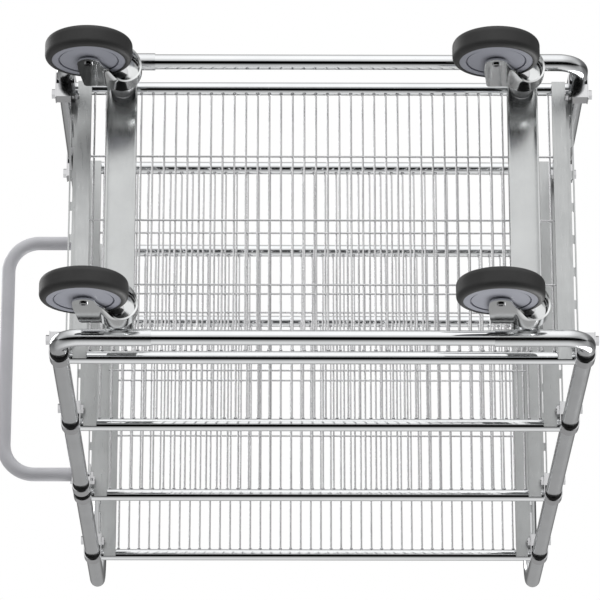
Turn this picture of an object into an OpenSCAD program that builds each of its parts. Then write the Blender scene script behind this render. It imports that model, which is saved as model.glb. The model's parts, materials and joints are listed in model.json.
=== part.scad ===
// Four-shelf wire-mesh trolley on swivel castors, in millimetres, +Z up.
// X runs along the trolley with the push handle at +X, Y runs across it, the floor is Z = 0.

/* [Frame] */
// Distance between the posts along X, axis to axis
post_span_x = 756; // [600:2:1000]
// Distance between the posts along Y, axis to axis
post_span_y = 426.8; // [360:0.4:600]
// Outside diameter of the end frame tube
frame_d = 25; // [22:0.5:30]
// Wall of the steel tubes
tube_wall = 1.5; // [1:0.1:2]
// Height of the base tube axis above the floor
base_z = 171.5; // [165:0.5:190]
// Height of the top of the end frames, at the tube axis
top_z = 1480; // [1400:5:1800]
// Bend radius at the top of an end frame
top_bend_r = 60; // [40:1:100]
// Bend radius where a post turns into its foot
foot_bend_r = 35; // [30:1:50]
// Reach of a foot from the post axis
foot_reach = 134; // [110:1:180]
// Length of base tube inside each foot
base_insert = 40; // [20:1:60]

/* [Shelves] */
// Heights of the shelf tube axes
shelf_z = [264.5, 576, 938, 1282.5];
// Outside diameter of the shelf tubes
shelf_tube_d = 19; // [16:0.5:22]
// Distance between a shelf's two long tubes, axis to axis
shelf_span_y = 421.8; // [360:0.4:560]
// Number of wires across each shelf
wire_count = 40; // [20:1:60]
// Spacing of the wires across each shelf
wire_pitch = 17.2; // [12:0.1:20]
// Diameter of the wires
wire_d = 3; // [2.5:0.1:4]
// Distance between the long wires under each shelf
long_wire_gap = 100.5; // [60:0.5:130]

/* [Clamps] */
// Height of a post clamp
clamp_h = 24; // [18:1:26]
// Thickness of the clamp strap
strap_t = 1.5; // [1:0.1:2]
// Reach of the clamp's two legs, from the post axis
leg_reach = 30.5; // [28:0.5:36]
// Distance of a shelf clamp's bolt from the post axis
clamp_bolt_y = 21; // [19:0.5:24]
// Distance of a handle clamp's bolt from the post axis
handle_bolt_y = 15.9; // [15.9:0.1:20]

/* [Handle] */
// Outside diameter of the handle tube
handle_d = 22; // [20:0.5:25]
// Height of the handle axis
handle_z = 871.5; // [800:0.5:878]
// Reach of the handle's cross run from the posts' axes
handle_reach = 125.6; // [100:0.1:180]
// Bend radius of the handle
handle_bend_r = 50; // [40:1:70]

/* [Castors] */
// Diameter of the wheels
wheel_d = 125; // [110:1:125]
// Width of the tyres
tyre_w = 32; // [28:1:32]
// Outside diameter of the hubs
hub_d = 105; // [90:1:108]
// Distance of the swivel axes from the trolley's middle, along X
castor_x = 291; // [260:1:310]
// Distance of the swivel axes from the trolley's middle, along Y
castor_y = 182; // [160:0.5:182]
// Trail of a wheel behind its swivel axis
trail = 44; // [42:1:46]
// Width of a castor rail
rail_w = 43; // [43:1:60]
// Depth of a castor rail
rail_h = 26.5; // [22:0.5:30]

/* [Hidden] */

$fn = 48;
eps = 0.5;
post_x = post_span_x / 2;
post_y = post_span_y / 2;
frame_r = frame_d / 2;
base_r = frame_r - tube_wall - 0.05;
handle_x = post_x + handle_reach;
handle_y = post_y - handle_bolt_y;

// Clamp and its fasteners: the strap's round end stands off the post, and the liner fills the crescent
liner_r = frame_r + 0.1;
liner_proud = 1;
strap_in = frame_r + 0.8;
strap_out = strap_in + strap_t;
strap_off = 3;
strap_gap = 0.1;
saddle_y = 9;
saddle_end = 1;
clamp_gap = 0.3;
m6_r = 3;
m6_head_r = 5.77;
m6_head_h = 4;
m8_r = 4;
m8_head_r = 7.5;
m8_head_h = 5.3;
m8_nut_h = 4;
hole_gap = 0.2;
thread_gap = 0.05;
handle_start = post_x + strap_out;
plug_l = 25;

// Whole object, for the origin under the middle of its box
bolt_end_x = post_x + strap_out + m8_head_h;
middle_x = (handle_x + handle_d / 2 - bolt_end_x) / 2;

// Shelf
shelf_r = shelf_tube_d / 2;
shelf_y = shelf_span_y / 2;
shelf_tube_end = post_x - frame_r - 0.3;
wire_z = -2;
long_wire_z = wire_z - wire_d + 0.4;
wire_end_y = shelf_y - shelf_r - 0.1;
flange_in = 340;
flange_out = 360;
ledge_out = 371.5;
rail_t = 2;
rail_bottom = -15;
rail_wall_top = 6;
rail_lip_h = 8.6;
flange_half_y = 217;
rail_wall_half_y = 199;
slot_l = 38;
slot_w = 3;
slot_pitch = 50.7;
slot_x = 368;

// Castor
wheel_r = wheel_d / 2;
axle_r = 4;
run_gap = 0.05;
leg_in = 17.2;
leg_t = 2.6;
leg_out = leg_in + leg_t;
leg_end_r = 16.2;
leg_top = 142;
dish_r = 29.6;
dish_t = 2.6;
dish_low = 105;
dish_front_low = 117;
dish_shoulder = 137;
crown_z = 139;
crown_t = 3;
fork_neck_r = 19.3;
shoulder_top = 164.5;
neck_r = 18;
ring_r = 17.2;
ring_z = 188;
neck_top = 197;
flange_r = 18.2;
king_r = 6;
king_head_r = 9.5;
king_nut_r = 10.4;
king_head_h = 3;
king_nut_h = 8;
axle_head_r = 6;
axle_head_h = 2;
axle_socket_r = 3.5;
axle_nut_r = 6.8;
axle_nut_h = 5;
rail_foot_z = base_z + frame_r;
web_z = rail_foot_z + rail_h - rail_t;
rail_half_y = post_y - 2.4;
rail_x = castor_x + 1;
head_bottom = shoulder_top + 0.3;
corners = [[1, -1], [1, 1], [-1, -1], [-1, 1]];

module placed() {
  translate([-middle_x, 0, 0]) children();
}

// Straight round bar from the origin along +Z
module bar(r, length) {
  cylinder(r = r, h = length);
}

// Round bar along X, from x0 to x1
module bar_x(r, x0, x1) {
  translate([x0, 0, 0]) rotate([0, 90, 0]) bar(r, x1 - x0);
}

// Round bar along Y, from y0 to y1
module bar_y(r, y0, y1) {
  translate([0, y0, 0]) rotate([-90, 0, 0]) bar(r, y1 - y0);
}

// Quarter bend of a round bar: it starts at the origin along +Z and turns towards +X
module bend(r, bend_r) {
  translate([bend_r, 0, 0]) rotate([90, 0, 0]) rotate([0, 0, 90])
    rotate_extrude(angle = 90) translate([bend_r, 0]) circle(r = r);
}

// Straight hollow tube along X
module tube_x(r, wall, half) {
  difference() {
    bar_x(r, -half, half);
    bar_x(r - wall, -half - eps, half + eps);
  }
}

// ---- End frames: foot, post, top, post and foot in one bent tube ----

// One leg of the end frame at +X, with its foot towards -X and half of the top
module frame_leg(r, extra) {
  leg_low = base_z + foot_bend_r;
  leg_high = top_z - top_bend_r;
  translate([post_x, post_y, leg_low]) bar(r, leg_high - leg_low);
  translate([post_x - foot_bend_r, post_y, base_z])
    rotate([0, -90, 0]) bar(r, foot_reach - foot_bend_r + extra);
  translate([post_x, post_y, leg_low]) rotate([180, 0, 0]) rotate([0, 0, 180]) bend(r, foot_bend_r);
  translate([post_x, post_y, leg_high]) rotate([0, 0, -90]) bend(r, top_bend_r);
  translate([post_x, post_y - top_bend_r, top_z]) rotate([90, 0, 0]) bar(r, post_y - top_bend_r);
}

module frame_path(r, extra) {
  frame_leg(r, extra);
  mirror([0, 1, 0]) frame_leg(r, extra);
}

module end_frame(side) {
  color("silver") placed() scale([side, 1, 1]) difference() {
    frame_path(frame_r, 0);
    frame_path(frame_r - tube_wall, eps);
  }
}

module base_tube(side) {
  color("silver") placed() translate([0, side * post_y, base_z])
    tube_x(base_r, tube_wall, post_x - foot_reach + base_insert);
}

// ---- Castor rails: pressed channels, open downwards, that stand on the feet ----

module castor_rail(side) {
  color("gainsboro") placed() translate([side * rail_x, 0, rail_foot_z]) difference() {
    translate([-rail_w / 2, -rail_half_y, 0]) cube([rail_w, 2 * rail_half_y, rail_h]);
    translate([-rail_w / 2 + rail_t, -rail_half_y - eps, -eps])
      cube([rail_w - 2 * rail_t, 2 * rail_half_y + 2 * eps, rail_h - rail_t + eps]);
    for (s = [-1, 1]) translate([side * (castor_x - rail_x), s * castor_y, rail_h - rail_t - eps])
      bar(king_r + hole_gap, rail_t + 2 * eps);
  }
}

// ---- Shelves ----

module shelf_tube(level, side) {
  color("gainsboro") placed() translate([0, side * shelf_y, shelf_z[level - 1]])
    tube_x(shelf_r, tube_wall, shelf_tube_end);
}

// Slot through the ledge of an end rail, long along Y
module rail_slot() {
  half = slot_l / 2 - slot_w / 2;
  for (s = [-1, 1]) translate([0, s * half, 0]) cylinder(d = slot_w, h = rail_t + 2 * eps);
  translate([-slot_w / 2, -half, 0]) cube([slot_w, 2 * half, rail_t + 2 * eps]);
}

// End rail at +X: lip, flange, wall, and a slotted ledge with a turned-down edge
module end_rail_body() {
  wall_h = rail_wall_top - rail_bottom;
  ledge_w = ledge_out - flange_out + rail_t;
  long = 2 * rail_wall_half_y;
  translate([flange_in, -flange_half_y, rail_bottom])
    cube([flange_out - flange_in, 2 * flange_half_y, rail_t]);
  translate([flange_in, -rail_wall_half_y, rail_bottom]) cube([rail_t, long, rail_lip_h]);
  translate([flange_out - rail_t, -rail_wall_half_y, rail_bottom]) cube([rail_t, long, wall_h]);
  difference() {
    translate([flange_out - rail_t, -rail_wall_half_y, rail_wall_top - rail_t])
      cube([ledge_w, long, rail_t]);
    for (i = [-3 : 3]) translate([slot_x, i * slot_pitch, rail_wall_top - rail_t - eps]) rail_slot();
  }
  translate([ledge_out - rail_t, -rail_wall_half_y, rail_wall_top - 6]) cube([rail_t, long, 6]);
}

module end_rail(level, side) {
  color("silver") placed() translate([0, 0, shelf_z[level - 1]]) scale([side, 1, 1]) end_rail_body();
}

// Wires across the shelf, welded onto three long wires that run under them
module mesh(level) {
  first = -(wire_count - 1) * wire_pitch / 2;
  color("gainsboro") placed() translate([0, 0, shelf_z[level - 1]]) union() {
    for (i = [0 : wire_count - 1])
      translate([first + i * wire_pitch, 0, wire_z]) bar_y(wire_d / 2, -wire_end_y, wire_end_y);
    for (i = [-1 : 1])
      translate([0, i * long_wire_gap, long_wire_z]) bar_x(wire_d / 2, -flange_in + 0.1, flange_in - 0.1);
  }
}

// ---- Post clamps ----

// Places children at a post: local +X points out along the trolley, local +Y points inwards
module at_post(sx, sy, z) {
  translate([sx * post_x, sy * post_y, z]) scale([sx, -sy, 1]) children();
}

// Outline of a strap's outer or inner face: round outwards, straight inwards to the given reach
module strap_outline(r, reach) {
  translate([0, -strap_off]) circle(r = r);
  translate([-r, -strap_off]) square([2 * r, reach + strap_off]);
}

// Hex prism along X with flats up and down
module hex_x(r, length) {
  rotate([0, 90, 0]) rotate([0, 0, 30]) cylinder(r = r, h = length, $fn = 6);
}

// U strap of a post clamp, centred on the post axis
module strap(bolt_y, bolt_r) {
  difference() {
    translate([0, 0, -clamp_h / 2]) linear_extrude(clamp_h) difference() {
      strap_outline(strap_out, leg_reach);
      strap_outline(strap_in, leg_reach + eps);
    }
    translate([0, bolt_y, 0]) bar_x(bolt_r + hole_gap, -strap_out - eps, strap_out + eps);
  }
}

// Crescent-shaped plastic liner between post and strap, open towards the legs
module liner() {
  liner_h = clamp_h + 2 * liner_proud;
  translate([0, 0, -liner_h / 2]) linear_extrude(liner_h) difference() {
    strap_outline(strap_in - strap_gap, 2);
    circle(r = liner_r);
  }
}

// Saddle block between the legs: it bears on the post and spaces the legs
module saddle() {
  half = strap_in - strap_gap;
  difference() {
    translate([-half, saddle_y, -clamp_h / 2]) cube([2 * half, leg_reach - saddle_end - saddle_y, clamp_h]);
    translate([0, 0, -clamp_h / 2 - eps]) bar(frame_r + strap_gap, clamp_h + 2 * eps);
    translate([0, clamp_bolt_y, 0]) bar_x(m8_r + hole_gap, -half - eps, half + eps);
  }
}

module at_shelf_clamps() {
  drop = shelf_r + clamp_gap + liner_proud + clamp_h / 2;
  for (z = shelf_z) for (c = corners) at_post(c[0], c[1], z - drop) children();
}

module at_handle_clamps() {
  for (sy = [-1, 1]) at_post(1, sy, handle_z) children();
}

module shelf_clamps() {
  color("silver") placed() at_shelf_clamps() strap(clamp_bolt_y, m8_r);
}

module handle_clamps() {
  color("silver") placed() at_handle_clamps() strap(handle_bolt_y, m6_r);
}

module clamp_saddles() {
  color("gray") placed() at_shelf_clamps() saddle();
}

module clamp_liners() {
  color("black") placed() {
    at_shelf_clamps() liner();
    at_handle_clamps() liner();
  }
}

// Hex bolts along X through both legs, heads outwards
module clamp_bolts() {
  color("silver") placed() at_shelf_clamps() translate([0, clamp_bolt_y, 0]) {
    bar_x(m8_r, -strap_out - m8_nut_h - 1, strap_out + 1);
    translate([strap_out, 0, 0]) hex_x(m8_head_r, m8_head_h);
  }
}

module clamp_nuts() {
  color("silver") placed() at_shelf_clamps()
    translate([-strap_out - m8_nut_h, clamp_bolt_y, 0]) difference() {
      hex_x(m8_head_r, m8_nut_h);
      bar_x(m8_r + thread_gap, -eps, m8_nut_h + eps);
    }
}

// ---- Handle ----

module handle_half(r, extra) {
  arm_end = handle_x - handle_bend_r;
  translate([0, handle_y, 0]) bar_x(r, handle_start - extra, arm_end);
  translate([arm_end, handle_y, 0]) rotate([0, 90, 0]) rotate([0, 0, -90]) bend(r, handle_bend_r);
  translate([handle_x, 0, 0]) bar_y(r, 0, handle_y - handle_bend_r);
}

module handle_path(r, extra) {
  handle_half(r, extra);
  mirror([0, 1, 0]) handle_half(r, extra);
}

module handle() {
  color("lightgray") placed() translate([0, 0, handle_z]) difference() {
    handle_path(handle_d / 2, 0);
    handle_path(handle_d / 2 - tube_wall, eps);
  }
}

// Threaded plugs pressed into the ends of the handle tube
module handle_plugs() {
  color("dimgray") placed() for (s = [-1, 1]) translate([0, s * handle_y, handle_z]) difference() {
    bar_x(handle_d / 2 - tube_wall, handle_start, handle_start + plug_l);
    bar_x(m6_r + thread_gap, handle_start - eps, handle_start + plug_l + eps);
  }
}

module handle_bolts() {
  head_x = post_x - strap_out - m6_head_h;
  color("silver") placed() for (s = [-1, 1]) translate([0, s * handle_y, handle_z]) {
    bar_x(m6_r, head_x + 1, handle_start + plug_l - 3);
    translate([head_x, 0, 0]) hex_x(m6_head_r, m6_head_h);
  }
}

// ---- Castors ----

// Places children at a castor's swivel axis, on the floor
module at_castor(index) {
  c = corners[index - 1];
  placed() translate([c[0] * castor_x, c[1] * castor_y, 0]) children();
}

// King bolts: low round head under the crown, shank up through the fork, the head and the rail
module castor_bolts() {
  head_top = crown_z - 0.3;
  bolt_top = web_z + rail_t + king_nut_h + 2;
  color("silver") for (i = [1 : 4]) at_castor(i) {
    translate([0, 0, head_top - king_head_h]) bar(king_head_r, king_head_h);
    translate([0, 0, head_top - 1]) bar(king_r, bolt_top - head_top + 1);
  }
}

// Nuts of the king bolts, on top of the rails
module castor_nuts() {
  color("silver") for (i = [1 : 4]) at_castor(i) translate([0, 0, web_z + rail_t]) difference() {
    cylinder(r = king_nut_r, h = king_nut_h, $fn = 6);
    translate([0, 0, -eps]) bar(king_r + thread_gap, king_nut_h + 2 * eps);
  }
}

// Fixed swivel head: a grooved neck under a wider flange that bears on the rail
module castor_head(index) {
  color("silver") at_castor(index) rotate_extrude() polygon([
    [king_r + run_gap, head_bottom], [neck_r - 1, head_bottom], [neck_r, head_bottom + 1],
    [neck_r, ring_z], [ring_r, ring_z + 1], [ring_r, ring_z + 2.5], [neck_r, ring_z + 3.5],
    [neck_r, neck_top], [flange_r, neck_top + 1.5], [flange_r, web_z], [king_r + run_gap, web_z]]);
}

// Outline of a fork leg, seen along Y: round at the axle, sweeping forwards and up to the dish
module leg_outline() {
  difference() {
    union() {
      translate([trail, wheel_r]) circle(r = leg_end_r);
      polygon([[-21, leg_top - crown_t], [-21, dish_front_low - 2], [-5, 107], [6, 99], [17, 86], [25, 71.5],
        [trail - leg_end_r, wheel_r], [trail + leg_end_r, wheel_r], [trail + leg_end_r, 84],
        [trail + 10, 138], [trail + 7, leg_top], [0, leg_top]]);
    }
    translate([trail, wheel_r]) circle(r = axle_r + run_gap);
  }
}

// Round dish of the fork: a wall, a domed shoulder and a neck round the king bolt
module fork_dish() {
  rotate_extrude() polygon([[0, crown_z], [dish_r - dish_t - 2, crown_z], [dish_r - dish_t, crown_z - 2],
    [dish_r, crown_z - 2], [dish_r - 1.2, 140], [dish_r - 3.4, 142.6], [fork_neck_r + 2.6, 145.5],
    [fork_neck_r + 0.8, 148.5], [fork_neck_r, 153], [fork_neck_r, shoulder_top - 1.5],
    [fork_neck_r - 1.5, shoulder_top], [0, shoulder_top]]);
  intersection() {
    translate([0, 0, dish_low - eps]) difference() {
      bar(dish_r, dish_shoulder - dish_low + eps);
      translate([0, 0, -eps]) bar(dish_r - dish_t, dish_shoulder - dish_low + 3 * eps);
    }
    translate([0, 2 * dish_r, 0]) rotate([90, 0, 0]) linear_extrude(4 * dish_r)
      polygon([[0, dish_low], [-dish_r - 1, dish_front_low], [-dish_r - 1, leg_top], [0, leg_top]]);
  }
}

module castor_fork(index) {
  color("silver") at_castor(index) difference() {
    union() {
      for (y = [-leg_out, leg_in]) translate([0, y + leg_t, 0]) rotate([90, 0, 0])
        linear_extrude(leg_t) leg_outline();
      fork_dish();
    }
    translate([0, 0, crown_z - eps]) bar(king_r + run_gap, shoulder_top - crown_z + 2 * eps);
  }
}

// Axle bolt: low round head with a hex socket, and a nut at the back
module castor_axle(index) {
  color("silver") at_castor(index) translate([trail, 0, wheel_r]) {
    difference() {
      union() {
        bar_y(axle_r, -leg_out - 1, leg_out + axle_nut_h + 1);
        bar_y(axle_head_r, -leg_out - axle_head_h, -leg_out);
      }
      translate([0, -leg_out + 1, 0]) rotate([90, 0, 0]) cylinder(r = axle_socket_r, h = 4, $fn = 6);
    }
    translate([0, leg_out, 0]) rotate([-90, 0, 0]) difference() {
      cylinder(r = axle_nut_r, h = axle_nut_h, $fn = 6);
      translate([0, 0, -eps]) bar(axle_r + thread_gap, axle_nut_h + 2 * eps);
    }
  }
}

// Moulded hub: boss, recessed web with a ring groove, and a rim
module castor_hub(index) {
  hub_r = hub_d / 2;
  half = tyre_w / 2 - 1;
  color([0.55, 0.55, 0.61]) at_castor(index) translate([trail, 0, wheel_r]) rotate([90, 0, 0])
    rotate_extrude() polygon([[axle_r + run_gap, -half - 1.5], [11, -half - 1.5], [13, -half + 1],
      [41, -half + 1], [41, -half + 4], [43.2, -half + 4], [43.2, -half], [hub_r, -half],
      [hub_r, half], [43.2, half], [43.2, half - 4], [41, half - 4], [41, half - 1],
      [13, half - 1], [11, half + 1.5], [axle_r + run_gap, half + 1.5]]);
}

// Tyre with rounded shoulders
module castor_tyre(index) {
  half = tyre_w / 2;
  hub_r = hub_d / 2;
  round_r = 9;
  color([0.22, 0.22, 0.22]) at_castor(index) translate([trail, 0, wheel_r]) rotate([90, 0, 0])
    rotate_extrude() union() {
      translate([hub_r, -half]) square([wheel_r - hub_r - round_r, tyre_w]);
      translate([hub_r, -half + round_r]) square([wheel_r - hub_r, tyre_w - 2 * round_r]);
      for (s = [-1, 1]) intersection() {
        translate([wheel_r - round_r, s * (half - round_r)]) circle(r = round_r);
        translate([hub_r, -half]) square([wheel_r, tyre_w]);
      }
    }
}

end_frame(1);  // end_frame_handle_side
end_frame(-1);  // end_frame_plain_side
base_tube(-1);  // base_tube_front
base_tube(1);  // base_tube_rear
castor_rail(1);  // castor_rail_handle_side
castor_rail(-1);  // castor_rail_plain_side
shelf_tube(1, -1);  // shelf_1_front_tube
shelf_tube(1, 1);  // shelf_1_rear_tube
end_rail(1, 1);  // shelf_1_rail_handle_side
end_rail(1, -1);  // shelf_1_rail_plain_side
mesh(1);  // shelf_1_mesh
shelf_tube(2, -1);  // shelf_2_front_tube
shelf_tube(2, 1);  // shelf_2_rear_tube
end_rail(2, 1);  // shelf_2_rail_handle_side
end_rail(2, -1);  // shelf_2_rail_plain_side
mesh(2);  // shelf_2_mesh
shelf_tube(3, -1);  // shelf_3_front_tube
shelf_tube(3, 1);  // shelf_3_rear_tube
end_rail(3, 1);  // shelf_3_rail_handle_side
end_rail(3, -1);  // shelf_3_rail_plain_side
mesh(3);  // shelf_3_mesh
shelf_tube(4, -1);  // shelf_4_front_tube
shelf_tube(4, 1);  // shelf_4_rear_tube
end_rail(4, 1);  // shelf_4_rail_handle_side
end_rail(4, -1);  // shelf_4_rail_plain_side
mesh(4);  // shelf_4_mesh
shelf_clamps();
handle_clamps();
clamp_saddles();
clamp_liners();
clamp_bolts();
clamp_nuts();
handle();
handle_plugs();
handle_bolts();
castor_bolts();
castor_nuts();
castor_head(1);  // castor_1_head
castor_fork(1);  // castor_1_fork
castor_axle(1);  // castor_1_axle
castor_hub(1);  // castor_1_hub
castor_tyre(1);  // castor_1_tyre
castor_head(2);  // castor_2_head
castor_fork(2);  // castor_2_fork
castor_axle(2);  // castor_2_axle
castor_hub(2);  // castor_2_hub
castor_tyre(2);  // castor_2_tyre
castor_head(3);  // castor_3_head
castor_fork(3);  // castor_3_fork
castor_axle(3);  // castor_3_axle
castor_hub(3);  // castor_3_hub
castor_tyre(3);  // castor_3_tyre
castor_head(4);  // castor_4_head
castor_fork(4);  // castor_4_fork
castor_axle(4);  // castor_4_axle
castor_hub(4);  // castor_4_hub
castor_tyre(4);  // castor_4_tyre
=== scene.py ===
import json
import math
import random

import bmesh
import bpy
from mathutils import Matrix, Vector


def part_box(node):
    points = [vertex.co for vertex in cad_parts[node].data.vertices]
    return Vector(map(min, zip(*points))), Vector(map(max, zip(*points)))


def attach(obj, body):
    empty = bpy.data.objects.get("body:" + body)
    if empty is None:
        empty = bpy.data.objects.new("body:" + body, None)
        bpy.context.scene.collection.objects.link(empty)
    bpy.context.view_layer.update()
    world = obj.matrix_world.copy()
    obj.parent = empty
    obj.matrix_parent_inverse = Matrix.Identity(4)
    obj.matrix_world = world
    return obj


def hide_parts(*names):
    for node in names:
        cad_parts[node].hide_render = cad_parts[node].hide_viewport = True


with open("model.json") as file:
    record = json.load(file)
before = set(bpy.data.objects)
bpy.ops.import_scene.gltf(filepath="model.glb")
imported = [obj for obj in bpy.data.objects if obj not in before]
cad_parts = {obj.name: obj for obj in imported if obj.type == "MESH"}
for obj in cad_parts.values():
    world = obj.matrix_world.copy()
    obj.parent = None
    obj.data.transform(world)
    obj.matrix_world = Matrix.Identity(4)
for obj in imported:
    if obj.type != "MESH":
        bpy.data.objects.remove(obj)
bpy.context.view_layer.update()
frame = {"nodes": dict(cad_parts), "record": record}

NODES = frame["nodes"]

# ---------------------------------------------------------------- materials

# Noise scale of the slow colour change over metal and over plastic
METAL_CLOUD, PLASTIC_CLOUD = 14.0, 22.0
STREAK_DETAIL, GRAIN_DETAIL = 6.0, 3.0
EVEN = (1, 1, 1)
ALONG_X, ALONG_Y, ALONG_Z = (0.04, 1, 1), (1, 0.04, 1), (1, 1, 0.04)
UPRIGHT_GRAIN = (1, 1, 0.1)


def new_material(name):
    """A node material with its Principled shader, its nodes and its links."""
    mat = bpy.data.materials.new(name)
    mat.use_nodes = True
    tree = mat.node_tree
    return mat, tree, tree.nodes["Principled BSDF"]


def stretched_noise(tree, stretch, scale, detail=4.0):
    """Noise over the part's own coordinates, squeezed by stretch along X, Y and Z."""
    coords = tree.nodes.new("ShaderNodeTexCoord")
    mapping = tree.nodes.new("ShaderNodeMapping")
    mapping.inputs["Scale"].default_value = stretch
    noise = tree.nodes.new("ShaderNodeTexNoise")
    noise.inputs["Scale"].default_value = scale
    noise.inputs["Detail"].default_value = detail
    tree.links.new(coords.outputs["Object"], mapping.inputs["Vector"])
    tree.links.new(mapping.outputs["Vector"], noise.inputs["Vector"])
    return noise.outputs["Fac"]


def ramp(tree, source, low, high, start=0.3, end=0.7):
    """Maps source from start..end to a value or a colour between low and high."""
    if isinstance(low, (int, float)):
        node = tree.nodes.new("ShaderNodeMapRange")
        node.inputs["From Min"].default_value = start
        node.inputs["From Max"].default_value = end
        node.inputs["To Min"].default_value = low
        node.inputs["To Max"].default_value = high
        tree.links.new(source, node.inputs["Value"])
        return node.outputs["Result"]
    node = tree.nodes.new("ShaderNodeValToRGB")
    node.color_ramp.elements[0].position = start
    node.color_ramp.elements[1].position = end
    node.color_ramp.elements[0].color = (*low, 1.0)
    node.color_ramp.elements[1].color = (*high, 1.0)
    tree.links.new(source, node.inputs["Fac"])
    return node.outputs["Color"]


def add_bump(tree, shader, source, strength, distance):
    """Turns source into a relief on the shader, with the given strength and depth in metres."""
    node = tree.nodes.new("ShaderNodeBump")
    node.inputs["Strength"].default_value = strength
    node.inputs["Distance"].default_value = distance
    tree.links.new(source, node.inputs["Height"])
    tree.links.new(node.outputs["Normal"], shader.inputs["Normal"])


def metal(name, dark, light, rough, grain, grain_scale, bump=0.1, bump_depth=0.0001):
    """Plated or brushed steel: colour, gloss and a fine relief vary along a grain."""
    mat, tree, shader = new_material(name)
    shader.inputs["Metallic"].default_value = 1.0
    cloud = stretched_noise(tree, EVEN, METAL_CLOUD)
    streaks = stretched_noise(tree, grain, grain_scale, STREAK_DETAIL)
    tree.links.new(ramp(tree, cloud, dark, light), shader.inputs["Base Color"])
    tree.links.new(ramp(tree, streaks, rough[0], rough[1]), shader.inputs["Roughness"])
    add_bump(tree, shader, streaks, bump, bump_depth)
    return mat


def moulded(name, dark, light, rough, grain_scale, bump, bump_depth):
    """Plastic, rubber or paint: a slightly uneven colour and a fine moulded grain."""
    mat, tree, shader = new_material(name)
    cloud = stretched_noise(tree, EVEN, PLASTIC_CLOUD)
    grain = stretched_noise(tree, EVEN, grain_scale, GRAIN_DETAIL)
    tree.links.new(ramp(tree, cloud, dark, light), shader.inputs["Base Color"])
    tree.links.new(ramp(tree, grain, rough[0], rough[1]), shader.inputs["Roughness"])
    add_bump(tree, shader, grain, bump, bump_depth)
    return mat


MATERIALS = {
    "frame_chrome": metal("frame_chrome", (0.66, 0.67, 0.68), (0.74, 0.75, 0.76),
                          (0.10, 0.18), ALONG_Z, 900.0, 0.06),
    "base_tube_chrome": metal("base_tube_chrome", (0.70, 0.71, 0.72), (0.76, 0.77, 0.78),
                              (0.02, 0.05), ALONG_X, 900.0, 0.02),
    "shelf_tube_chrome": metal("shelf_tube_chrome", (0.70, 0.71, 0.72), (0.76, 0.77, 0.78),
                               (0.02, 0.05), ALONG_X, 900.0, 0.02),
    "castor_rail_zinc": metal("castor_rail_zinc", (0.50, 0.51, 0.51), (0.57, 0.58, 0.58),
                              (0.14, 0.24), ALONG_Y, 1600.0, 0.08),
    "end_rail_zinc": metal("end_rail_zinc", (0.46, 0.47, 0.47), (0.55, 0.56, 0.56),
                           (0.26, 0.40), ALONG_Y, 1200.0, 0.12),
    "wire_zinc": metal("wire_zinc", (0.62, 0.62, 0.63), (0.72, 0.72, 0.73),
                       (0.18, 0.32), ALONG_Y, 700.0, 0.10),
    "clamp_zinc": metal("clamp_zinc", (0.56, 0.56, 0.57), (0.66, 0.66, 0.67),
                        (0.08, 0.16), EVEN, 500.0, 0.10),
    "fastener_zinc": metal("fastener_zinc", (0.50, 0.50, 0.51), (0.62, 0.62, 0.63),
                           (0.04, 0.10), EVEN, 700.0, 0.10),
    "plug_steel": metal("plug_steel", (0.38, 0.38, 0.39), (0.46, 0.46, 0.47),
                        (0.30, 0.45), EVEN, 700.0, 0.12),
    "castor_steel": metal("castor_steel", (0.64, 0.65, 0.65), (0.72, 0.73, 0.73),
                          (0.08, 0.16), EVEN, 400.0, 0.04),
    "castor_head_zinc": metal("castor_head_zinc", (0.80, 0.81, 0.82), (0.88, 0.89, 0.90),
                              (0.46, 0.56), UPRIGHT_GRAIN, 500.0, 0.08),
    "liner_plastic": moulded("liner_plastic", (0.010, 0.010, 0.010), (0.020, 0.020, 0.020),
                             (0.42, 0.55), 900.0, 0.15, 0.0001),
    "handle_paint": moulded("handle_paint", (0.56, 0.56, 0.59), (0.61, 0.61, 0.64),
                            (0.34, 0.46), 1400.0, 0.20, 0.00008),
    "hub_plastic": moulded("hub_plastic", (0.32, 0.33, 0.38), (0.36, 0.37, 0.42),
                           (0.40, 0.54), 1100.0, 0.15, 0.0001),
    "tyre_rubber": moulded("tyre_rubber", (0.022, 0.022, 0.022), (0.036, 0.036, 0.036),
                           (0.48, 0.64), 1500.0, 0.25, 0.00012),
}


def paint(obj, slot_name):
    """Gives an object the one material of a slot."""
    obj.data.materials.clear()
    obj.data.materials.append(MATERIALS[slot_name])
    for poly in obj.data.polygons:
        poly.material_index = 0


for entry in frame["record"]["subparts"]:
    paint(NODES[entry["node"]], entry["material_slot"])

# ---------------------------------------------------------------- weld beads

# A shelf's mesh, in metres: its cross wires, and the gap between its three long wires
WIRE_COUNT = 40
WIRE_PITCH = 0.0172
LONG_WIRE_GAP = 0.1005
WIRE_R = 0.0015
# Half sizes of the beads where a wire meets a long tube, another wire and an end rail
TUBE_BEAD = (0.0026, 0.0022, 0.0022)
CROSSING_BEAD = (0.0019, 0.0019, 0.0011)
RAIL_BEAD = (0.0016, 0.0024, 0.0022)
# How far a bead sits in from the wire's end, below the wire's middle, and out from the rail's edge
TUBE_BEAD_IN, TUBE_BEAD_DROP, RAIL_BEAD_OUT = 0.0005, 0.0006, 0.0004
# Upright seam between an end rail's wall and a long tube
RAIL_WALL_OUT = 0.019
RAIL_SEAM_R, RAIL_SEAM_HALF, RAIL_SEAM_GAP = 0.0024, 0.003, 0.0002
# Seam along a castor rail's flange on a foot tube: radius, offsets of its start, and its run
FOOT_SEAM_R = 0.0019
FOOT_SEAM_IN, FOOT_SEAM_UP = 0.0005, 0.0003
FOOT_SEAM_RUN, FOOT_SEAM_FALL = 0.0075, 0.0012


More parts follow.
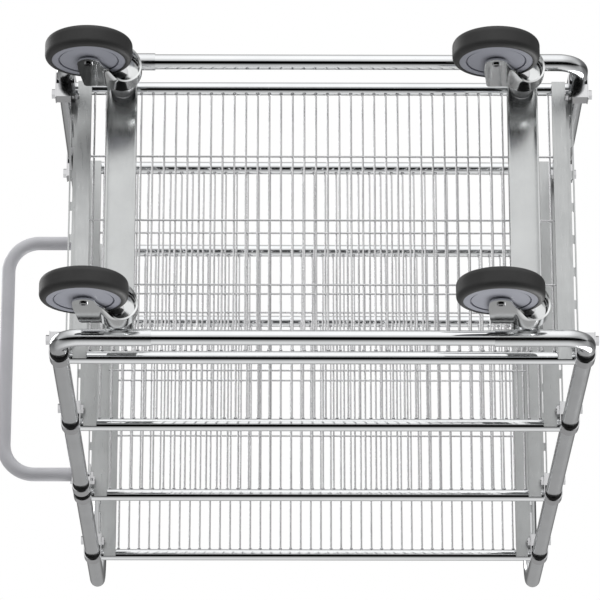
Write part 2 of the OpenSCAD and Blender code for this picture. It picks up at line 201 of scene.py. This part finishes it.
def lump(bm, rng, place, radii):
    """A small uneven blob of weld metal."""
    made = bmesh.ops.create_icosphere(bm, subdivisions=2, radius=1.0)
    swell = 1.0 + rng.uniform(-0.10, 0.10)
    for vert in made["verts"]:
        way = vert.co.normalized()
        rough = swell * (1.0 + rng.uniform(-0.05, 0.05))
        vert.co = place + Vector((way.x * radii[0], way.y * radii[1], way.z * radii[2])) * rough


def weld_run(bm, rng, start, end, radius):
    """A row of overlapping lumps from start to end."""
    steps = max(1, round((end - start).length / (0.9 * radius)))
    for i in range(steps + 1):
        lump(bm, rng, start.lerp(end, i / steps), (radius, radius, radius))


def finish_piece(bm, name, slot_name, body):
    """Makes bm a smooth object with a slot's material, riding on a body."""
    for face in bm.faces:
        face.smooth = True
    mesh = bpy.data.meshes.new(name)
    bm.to_mesh(mesh)
    bm.free()
    piece = bpy.data.objects.new(name, mesh)
    bpy.context.scene.collection.objects.link(piece)
    paint(piece, slot_name)
    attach(piece, body)
    return piece


def shelf_welds(level):
    """Beads where a shelf's wires meet tubes, rails and each other, and where its rails meet tubes."""
    rng = random.Random(100 + level)
    bm = bmesh.new()
    mesh_lo, mesh_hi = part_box(f"shelf_{level}_mesh")
    mid = (mesh_lo + mesh_hi) / 2
    wire_z = mesh_hi.z - WIRE_R
    cross_z = mesh_hi.z - 2 * WIRE_R
    for i in range(WIRE_COUNT):
        x = mid.x + (i - (WIRE_COUNT - 1) / 2) * WIRE_PITCH
        for y, way in ((mesh_lo.y, 1), (mesh_hi.y, -1)):
            lump(bm, rng, Vector((x, y + way * TUBE_BEAD_IN, wire_z - TUBE_BEAD_DROP)), TUBE_BEAD)
        for k in (-1, 0, 1):
            lump(bm, rng, Vector((x, mid.y + k * LONG_WIRE_GAP, cross_z)), CROSSING_BEAD)
    for side in ("handle_side", "plain_side"):
        lo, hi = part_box(f"shelf_{level}_rail_{side}")
        inner = lo.x if side == "handle_side" else hi.x
        out = 1 if side == "handle_side" else -1
        for k in (-1, 0, 1):
            place = Vector((inner + out * RAIL_BEAD_OUT, mid.y + k * LONG_WIRE_GAP, mesh_lo.z + WIRE_R))
            lump(bm, rng, place, RAIL_BEAD)
        for tube, way in (("front", -1), ("rear", 1)):
            tube_lo, tube_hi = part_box(f"shelf_{level}_{tube}_tube")
            edge = tube_hi.y if way < 0 else tube_lo.y
            wall_x = inner + out * RAIL_WALL_OUT
            top_z = (tube_lo.z + tube_hi.z) / 2 + RAIL_SEAM_HALF
            top = Vector((wall_x, edge + way * RAIL_SEAM_GAP, top_z))
            weld_run(bm, rng, top, top - Vector((0, 0, 2 * RAIL_SEAM_HALF)), RAIL_SEAM_R)
    finish_piece(bm, f"shelf_{level}_welds", "wire_zinc", "trolley")


def castor_rail_welds(side):
    """Beads along both flanges of a castor rail where they stand on the foot tubes."""
    rng = random.Random(200 if side == "handle_side" else 201)
    bm = bmesh.new()
    lo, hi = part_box(f"castor_rail_{side}")
    for x in (lo.x, hi.x):
        for y, way in ((lo.y, 1), (hi.y, -1)):
            start = Vector((x, y + way * FOOT_SEAM_IN, lo.z + FOOT_SEAM_UP))
            end = start + Vector((0, way * FOOT_SEAM_RUN, -FOOT_SEAM_FALL))
            weld_run(bm, rng, start, end, FOOT_SEAM_R)
    finish_piece(bm, f"castor_rail_welds_{side}", "castor_rail_zinc", "trolley")


for shelf_level in range(1, 5):
    shelf_welds(shelf_level)
castor_rail_welds("handle_side")
castor_rail_welds("plain_side")

# ---------------------------------------------------------------- castor forks

# Millimetres: x from the swivel axis towards the wheel, y to either side, z from the floor
LEG_OUT = 19.8
SHEET = 2.6
DISH_R = 29.6
LEG_TOP = 142.0
AXLE_X, AXLE_Z, LEG_END_R = 44.0, 62.5, 16.2
# The sheet's edges as (x, z): below, from the front to the leg's round end, and above at the leg's corner
LOWER_EDGE = [(-30.0, 117.0), (-26.0, 114.0), (-20.0, 111.0), (-12.8, 108.0), (-5.0, 105.0),
              (0.0, 102.3), (6.0, 98.0), (11.0, 93.0), (17.0, 85.5), (22.0, 77.0), (25.0, 71.0),
              (27.8, 62.5)]
LEG_CORNER = [(51.0, LEG_TOP), (54.0, 138.0), (60.2, 84.0)]
# Top of the wall under the dish, and where it climbs to the leg's top
DISH_WALL_TOP, CLIMB = 137.5, (12.0, 24.0)
LEG_STATIONS = [60.2, 59.7, 58.4, 56.2, 54.0, 52.6, 51.0, 47.5, 44.0, 40.0, 36.0, 32.5, 30.0, 28.5, 27.8,
                26.5, 25.0, 23.0, 21.0, 19.0, 17.0, 15.0, 13.0, 11.0, 9.0, 7.0, 5.0, 3.0, 1.5, 0.0]
FRONT_STEPS, WALL_LEVELS = 28, 14
# How far forward the sheet reaches low down, as a share of the dish's radius
FRONT_TUCK = 0.85
# Heights between which the sheet flares from the legs' width to the dish's
FLARE = (78.0, 106.0)
# A point between the legs, to tell the sheet's inside from its outside
INSIDE_X = 30.0
# Closed outline as (radius, z): the dish, the neck, the crown, its bore and its underside
DISH_PROFILE = [(26.8, 136.4), (29.6, 136.4), (29.5, 137.8), (28.9, 139.4), (27.8, 141.0), (26.2, 142.5),
                (24.0, 144.0), (21.9, 145.6), (20.6, 147.4), (19.8, 149.8), (19.5, 152.5), (19.3, 156.0),
                (19.3, 157.6), (18.9, 158.0), (18.9, 158.8), (19.3, 159.2), (19.3, 163.2), (18.6, 164.2),
                (17.6, 164.5), (6.1, 164.5), (6.1, 139.0), (24.0, 139.0)]
SHARP_DEGREES = 38


def smooth_share(value, start, end):
    """How far value is from start to end, eased at both ends."""
    t = min(1.0, max(0.0, (value - start) / (end - start)))
    return t * t * (3 - 2 * t)


def along_points(points, x):
    """Height at x on a broken line of points with growing x."""
    for (x0, z0), (x1, z1) in zip(points, points[1:]):
        if x <= x1:
            return z0 + (z1 - z0) * (x - x0) / (x1 - x0)
    return points[-1][1]


def lower_edge(x):
    """Height of the sheet's lower edge: a round end about the axle, then the broken line."""
    if x > AXLE_X - LEG_END_R:
        return AXLE_Z - math.sqrt(max(0.0, LEG_END_R ** 2 - (x - AXLE_X) ** 2))
    return along_points(LOWER_EDGE, x)


def upper_edge(x):
    """Height of the sheet's upper edge."""
    if x > LEG_CORNER[0][0]:
        return along_points(LEG_CORNER, x)
    if x > CLIMB[1]:
        return LEG_TOP
    return DISH_WALL_TOP + (LEG_TOP - DISH_WALL_TOP) * smooth_share(x, *CLIMB)


def fork_stations():
    """Plan of the fork, round the front from one leg's end to the other's: x, y low and x, y high."""
    one_leg = []
    for x in LEG_STATIONS:
        high_y = max(LEG_OUT, math.sqrt(max(0.0, DISH_R ** 2 - x * x)))
        one_leg.append((x, -LEG_OUT, x, -high_y))
    front = []
    for i in range(1, FRONT_STEPS):
        turn = math.pi * i / FRONT_STEPS
        high = (-DISH_R * math.sin(turn), -DISH_R * math.cos(turn))
        front.append((high[0] * FRONT_TUCK, high[1] * LEG_OUT / DISH_R, *high))
    return one_leg + front + [(x, -y, hx, -hy) for x, y, hx, hy in reversed(one_leg)]


def fork_walls(bm, axis):
    """Both legs and the front of the fork: one sheet that flares out into the round dish."""
    grid = []
    for x0, y0, x1, y1 in fork_stations():
        column = []
        low_z, high_z = lower_edge(x1), upper_edge(x1)
        for j in range(WALL_LEVELS + 1):
            z = low_z + (high_z - low_z) * j / WALL_LEVELS
            share = smooth_share(z, *FLARE)
            column.append(Vector((x0 + (x1 - x0) * share, y0 + (y1 - y0) * share, z)))
        grid.append(column)
    outer = [[bm.verts.new(axis + v / 1000) for v in column] for column in grid]
    inner = []
    for i, column in enumerate(grid):
        row = []
        for j, v in enumerate(column):
            before, after = grid[max(0, i - 1)][j], grid[min(len(grid) - 1, i + 1)][j]
            way = after - before
            inward = Vector((-way.y, way.x, 0)).normalized()
            if inward.dot(Vector((v.x - INSIDE_X, v.y, 0))) > 0:
                inward.negate()
            row.append(bm.verts.new(axis + (v + inward * SHEET) / 1000))
        inner.append(row)
    count = len(grid)
    for i in range(count - 1):
        for j in range(WALL_LEVELS):
            bm.faces.new((outer[i][j], outer[i + 1][j], outer[i + 1][j + 1], outer[i][j + 1]))
            bm.faces.new((inner[i][j + 1], inner[i + 1][j + 1], inner[i + 1][j], inner[i][j]))
        bm.faces.new((outer[i + 1][0], outer[i][0], inner[i][0], inner[i + 1][0]))
        bm.faces.new((outer[i][-1], outer[i + 1][-1], inner[i + 1][-1], inner[i][-1]))
    for i in (0, count - 1):
        for j in range(WALL_LEVELS):
            bm.faces.new((outer[i][j], outer[i][j + 1], inner[i][j + 1], inner[i][j]))


def revolve(bm, axis, profile, steps=72):
    """A closed ring about the vertical through axis, from its outline's (radius, z) in millimetres."""
    turns = [2 * math.pi * k / steps for k in range(steps)]
    rings = []
    for r, z in profile:
        places = [Vector((r * math.cos(turn), r * math.sin(turn), z)) for turn in turns]
        rings.append([bm.verts.new(axis + place / 1000) for place in places])
    for low_ring, high_ring in zip(rings, rings[1:] + rings[:1]):
        for k in range(steps):
            n = (k + 1) % steps
            bm.faces.new((low_ring[k], low_ring[n], high_ring[n], high_ring[k]))


def castor_fork(index):
    """Pressed fork: two legs, a front that flares into a round dish, a domed crown and a neck."""
    joints = frame["record"]["behaviour"]["joints"]
    joint = next(j for j in joints if j["name"] == f"castor_{index}_swivel")
    axis = Vector((joint["pos_m"][0], joint["pos_m"][1], 0.0))
    bm = bmesh.new()
    fork_walls(bm, axis)
    revolve(bm, axis, DISH_PROFILE)
    bmesh.ops.recalc_face_normals(bm, faces=bm.faces)
    piece = finish_piece(bm, f"castor_{index}_pressed_fork", "castor_steel", f"castor_{index}_yoke")
    piece.data.set_sharp_from_angle(angle=math.radians(SHARP_DEGREES))
    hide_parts(f"castor_{index}_fork")


for castor_index in range(1, 5):
    castor_fork(castor_index)

# ---------------------------------------------------------------- camera, light and floor

FRAME_PX = 600
SENSOR_MM = 36.0
# The camera stands below the floor and in front, and looks up at the trolley from far away
EYE = Vector((0.0, -1.987, -4.8285))
AIM = Vector((-18.0, 1287.0, 3515.0)).normalized()
FOCAL_PX = 3735.0
CLIP_M = (0.05, 60.0)


def make_camera():
    data = bpy.data.cameras.new("camera")
    data.sensor_width = SENSOR_MM
    data.lens = FOCAL_PX / FRAME_PX * SENSOR_MM
    data.clip_start, data.clip_end = CLIP_M
    camera = bpy.data.objects.new("camera", data)
    right = AIM.cross(Vector((0, 1, 0))).normalized()
    up = right.cross(AIM)
    turn = Matrix((right, up, -AIM)).transposed()
    camera.matrix_world = Matrix.Translation(EYE) @ turn.to_4x4()
    bpy.context.scene.collection.objects.link(camera)
    bpy.context.scene.camera = camera


# What the metal mirrors, by the angle from straight down towards the back (+) or the front (-)
SURROUND = [(-180, 0.40), (-155, 0.40), (-140, 0.70), (-118, 0.95), (-98, 0.92), (-84, 0.80),
            (-68, 0.55), (-54, 0.26), (-46, 0.0), (-12, 0.0), (-7, 0.30), (0, 0.75), (10, 0.95),
            (18, 1.04), (26, 1.24), (45, 1.34), (62, 1.34), (85, 1.20), (100, 0.90), (117, 0.45),
            (150, 0.16), (168, 0.16), (180, 0.40)]
# The surround dims towards both ends of the trolley: where it starts and stops dimming, and how far
END_START, END_STOP, END_SHADE = 0.25, 0.75, 0.5


def make_world():
    """White to the eye. Metal mirrors a bright floor, one dark strip, a grey ceiling and dimmer ends."""
    world = bpy.data.worlds.new("studio")
    bpy.context.scene.world = world
    world.use_nodes = True
    tree = world.node_tree
    tree.nodes.clear()
    coords = tree.nodes.new("ShaderNodeTexCoord")
    split = tree.nodes.new("ShaderNodeSeparateXYZ")
    down = tree.nodes.new("ShaderNodeMath")
    down.operation = "MULTIPLY"
    down.inputs[1].default_value = -1.0
    angle = tree.nodes.new("ShaderNodeMath")
    angle.operation = "ARCTAN2"
    share = tree.nodes.new("ShaderNodeMapRange")
    share.inputs["From Min"].default_value = -math.pi
    share.inputs["From Max"].default_value = math.pi
    bands = tree.nodes.new("ShaderNodeValToRGB")
    elements = bands.color_ramp.elements
    while len(elements) < len(SURROUND):
        elements.new(0.5)
    for element, (degrees, level) in zip(elements, SURROUND):
        element.position = (degrees + 180) / 360
        element.color = (level, level, level, 1.0)
    sideways = tree.nodes.new("ShaderNodeMath")
    sideways.operation = "ABSOLUTE"
    ends = tree.nodes.new("ShaderNodeMapRange")
    ends.inputs["From Min"].default_value = END_START
    ends.inputs["From Max"].default_value = END_STOP
    ends.inputs["To Min"].default_value = 1.0
    ends.inputs["To Max"].default_value = END_SHADE
    soften = tree.nodes.new("ShaderNodeMix")
    soften.inputs["A"].default_value = 1.0
    mirrored = tree.nodes.new("ShaderNodeBackground")
    plain = tree.nodes.new("ShaderNodeBackground")
    plain.inputs["Color"].default_value = (1.0, 1.0, 1.0, 1.0)
    path = tree.nodes.new("ShaderNodeLightPath")
    mix = tree.nodes.new("ShaderNodeMixShader")
    out = tree.nodes.new("ShaderNodeOutputWorld")
    link = tree.links.new
    link(coords.outputs["Generated"], split.inputs["Vector"])
    link(split.outputs["Z"], down.inputs[0])
    link(split.outputs["Y"], angle.inputs[0])
    link(down.outputs["Value"], angle.inputs[1])
    link(angle.outputs["Value"], share.inputs["Value"])
    link(share.outputs["Result"], bands.inputs["Fac"])
    link(bands.outputs["Color"], mirrored.inputs["Color"])
    link(split.outputs["X"], sideways.inputs[0])
    link(sideways.outputs["Value"], ends.inputs["Value"])
    link(path.outputs["Is Glossy Ray"], soften.inputs["Factor"])
    link(ends.outputs["Result"], soften.inputs["B"])
    link(soften.outputs["Result"], mirrored.inputs["Strength"])
    link(path.outputs["Is Camera Ray"], mix.inputs["Fac"])
    link(mirrored.outputs["Background"], mix.inputs[1])
    link(plain.outputs["Background"], mix.inputs[2])
    link(mix.outputs["Shader"], out.inputs["Surface"])


# Soft lights: name, place, width in metres and power in watts, all aimed at the trolley's middle
LIGHTS = [("key", (-2.4, -2.6, 3.6), 2.4, 110.0), ("fill", (2.8, 1.8, 3.0), 2.4, 50.0)]
LIGHT_TARGET = (0.0, 0.0, 0.7)
FLOOR_R, FLOOR_Z = 9.0, -0.0005


def make_light(name, place, size, power):
    data = bpy.data.lights.new(name, "AREA")
    data.shape = "DISK"
    data.size = size
    data.energy = power
    light = bpy.data.objects.new(name, data)
    light.location = place
    light.rotation_euler = (Vector(LIGHT_TARGET) - Vector(place)).to_track_quat("-Z", "Y").to_euler()
    bpy.context.scene.collection.objects.link(light)


def make_floor():
    """A pale disc that shows from above only, so that a view from below looks through it."""
    mesh = bpy.data.meshes.new("floor")
    bm = bmesh.new()
    bmesh.ops.create_circle(bm, cap_ends=True, radius=FLOOR_R, segments=96)
    for face in bm.faces:
        if face.normal.z < 0:
            face.normal_flip()
    bm.to_mesh(mesh)
    bm.free()
    floor = bpy.data.objects.new("floor", mesh)
    floor.location.z = FLOOR_Z
    bpy.context.scene.collection.objects.link(floor)
    mat, tree, shader = new_material("floor_paint")
    cloud = stretched_noise(tree, EVEN, 3.0)
    tree.links.new(ramp(tree, cloud, (0.78, 0.78, 0.78), (0.80, 0.80, 0.80)), shader.inputs["Base Color"])
    shader.inputs["Roughness"].default_value = 0.9
    side = tree.nodes.new("ShaderNodeNewGeometry")
    clear = tree.nodes.new("ShaderNodeBsdfTransparent")
    mix = tree.nodes.new("ShaderNodeMixShader")
    tree.links.new(side.outputs["Backfacing"], mix.inputs["Fac"])
    tree.links.new(shader.outputs["BSDF"], mix.inputs[1])
    tree.links.new(clear.outputs["BSDF"], mix.inputs[2])
    tree.links.new(mix.outputs["Shader"], tree.nodes["Material Output"].inputs["Surface"])
    mesh.materials.append(mat)
    floor.visible_diffuse = False
    floor.visible_glossy = False
    floor.visible_shadow = False


def make_stage():
    bpy.context.scene.view_settings.view_transform = "Standard"
    make_camera()
    make_world()
    make_floor()
    for light in LIGHTS:
        make_light(*light)


make_stage()
